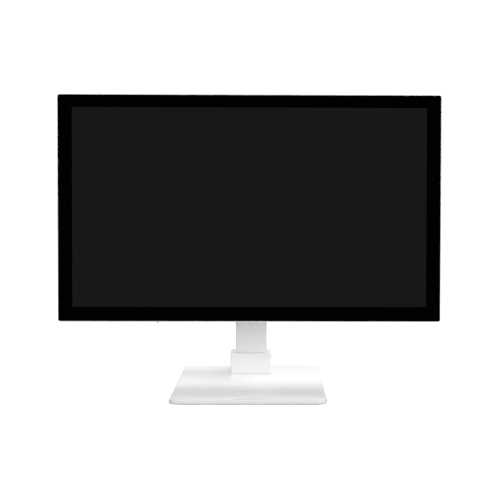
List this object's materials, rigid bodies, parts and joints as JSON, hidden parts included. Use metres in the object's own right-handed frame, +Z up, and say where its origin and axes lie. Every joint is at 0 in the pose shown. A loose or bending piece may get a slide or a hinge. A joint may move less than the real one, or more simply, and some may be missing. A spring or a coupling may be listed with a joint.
{
  "type": "video magnifier",
  "caption": "Free-standing video magnifier: glass-fronted tilting display with a camera arm folded behind it, on a lifting, swivelling column and thin base plate.",
  "frame": {"origin": "on the table, at the centre of the base plate's outline", "axes": "+Z up, the screen faces -Y, +X to the right as seen from the reader"},
  "size_m": [0.5722, 0.212, 0.4413],
  "materials": {
    "painted_steel": "glossy white lacquer",
    "rubber": "matt black",
    "acetal": "smooth low-friction",
    "white_plastic": "smooth glossy moulding",
    "grey_plastic": "fine matt texture",
    "satin_column": "satin pale grey",
    "cast_aluminium": "as machined",
    "steel": "turned",
    "fastener": "zinc plated",
    "black_steel": "satin black powder coat",
    "cover_glass": "polished",
    "border_black": "printed gloss black",
    "lcd": "dark, screen off",
    "film": "milky film",
    "acrylic": "clear acrylic",
    "led_white": "LED strip, off",
    "zinc_sheet": "galvanised sheet",
    "circuit_board": "solder mask",
    "black_plastic": "fine matt texture",
    "socket_metal": "nickel plated",
    "lamp_diffuser": "milky diffuser, lamp off",
    "lens_glass": "coated"
  },
  "bodies": {
    "base": {"base_plate": "painted_steel", "base_feet": "rubber", "swivel_washer": "acetal"},
    "column": {"collar_shell": "white_plastic", "column_foot": "cast_aluminium", "foot_screws": "fastener", "swivel_spindle": "steel", "retainer_plate": "steel", "retainer_screws": "fastener", "column_tube": "satin_column", "column_cap": "white_plastic", "gas_spring_tube": "black_steel"},
    "carriage": {"lift_carriage": "cast_aluminium", "glide_pads": "acetal", "gas_spring_rod": "steel", "tilt_yoke": "black_steel", "yoke_screws": "fastener", "tilt_pin": "steel", "tilt_nut": "steel", "tilt_washers": "steel"},
    "display": {"cover_glass": "cover_glass", "border_mask": "border_black", "lcd_panel": "lcd", "diffuser_sheets": "film", "light_guide": "acrylic", "reflector_sheet": "film", "led_bar": "led_white", "backlight_tray": "zinc_sheet", "front_frame": "white_plastic", "rear_cover": "white_plastic", "service_cover": "white_plastic", "service_screws": "fastener", "chassis_bracket": "zinc_sheet", "tilt_bracket": "black_steel", "bracket_screws": "fastener", "main_board": "circuit_board", "heat_sink": "cast_aluminium", "power_board": "circuit_board", "port_panel": "black_plastic", "dc_inlet": "black_plastic", "hdmi_socket": "socket_metal", "usb_sockets": "socket_metal", "speakers": "black_plastic", "menu_switch": "black_plastic", "arm_bracket": "black_steel", "arm_screws": "fastener", "arm_pin": "steel", "arm_bumper": "rubber"},
    "button": {"menu_button": "black_plastic"},
    "arm": {"camera_arm": "white_plastic", "arm_cover": "grey_plastic", "head_pin": "steel"},
    "head": {"head_housing": "white_plastic", "head_cover": "grey_plastic", "lamp_ring": "lamp_diffuser", "lens_window": "lens_glass", "camera_board": "circuit_board", "lens_barrel": "black_plastic"}
  },
  "joints": [
    {"name": "swivel", "type": "hinge", "parent": "base", "child": "column", "pos_m": [0, 0.0684, 0.0065], "axis": [0, 0, 1], "range_deg": [-30, 30]},
    {"name": "lift", "type": "slide", "parent": "column", "child": "carriage", "axis": [0, 0, 1], "range_m": [-0.05, 0.06]},
    {"name": "tilt", "type": "hinge", "parent": "carriage", "child": "display", "pos_m": [0, 0.04234, 0.26989], "axis": [-1, 0, 0], "range_deg": [-8.45, 16.55]},
    {"name": "menu_press", "type": "slide", "parent": "display", "child": "button", "axis": [0, 0.0602, 0.9982], "range_m": [0, 0.0008], "stiffness_N_per_m": 1500, "springref_m": -0.0005},
    {"name": "arm_fold", "type": "hinge", "parent": "display", "child": "arm", "pos_m": [0.16, 0.02741, 0.42106], "axis": [1, 0, 0], "range_deg": [0, 200]},
    {"name": "head_pitch", "type": "hinge", "parent": "arm", "child": "head", "pos_m": [0.16, 0.01838, 0.27133], "axis": [1, 0, 0], "range_deg": [0, 90]}
  ]
}
